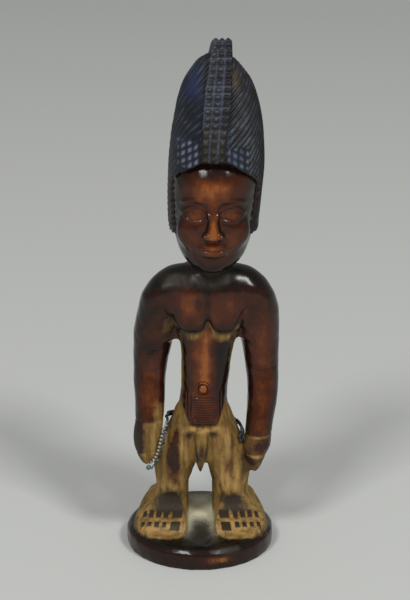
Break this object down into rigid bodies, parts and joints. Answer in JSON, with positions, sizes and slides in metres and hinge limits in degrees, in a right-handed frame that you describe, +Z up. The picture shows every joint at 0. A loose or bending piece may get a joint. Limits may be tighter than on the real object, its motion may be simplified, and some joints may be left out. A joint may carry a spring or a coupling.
{
  "type": "carved wood figure",
  "caption": "Standing male twin figure carved with its round base, with a tall blue-stained ribbed coiffure, hands at the thighs and a strand of small glass beads behind the hips.",
  "frame": {"origin": "middle of the base's flat underside", "axes": "+Z up along the figure's height, the figure looks along -Y, its own left hand on +X"},
  "size_m": [0.0828, 0.08, 0.2789],
  "materials": {
    "stained_wood": "hand-polished dark red-brown surface, matte ochre below the waist, blue pigment in the coiffure",
    "bead_glass": "small opaque glass beads, glossy, pale grey and blue"
  },
  "bodies": {
    "root": {"figure": "stained_wood", "bead_strand": "bead_glass"}
  },
  "joints": []
}
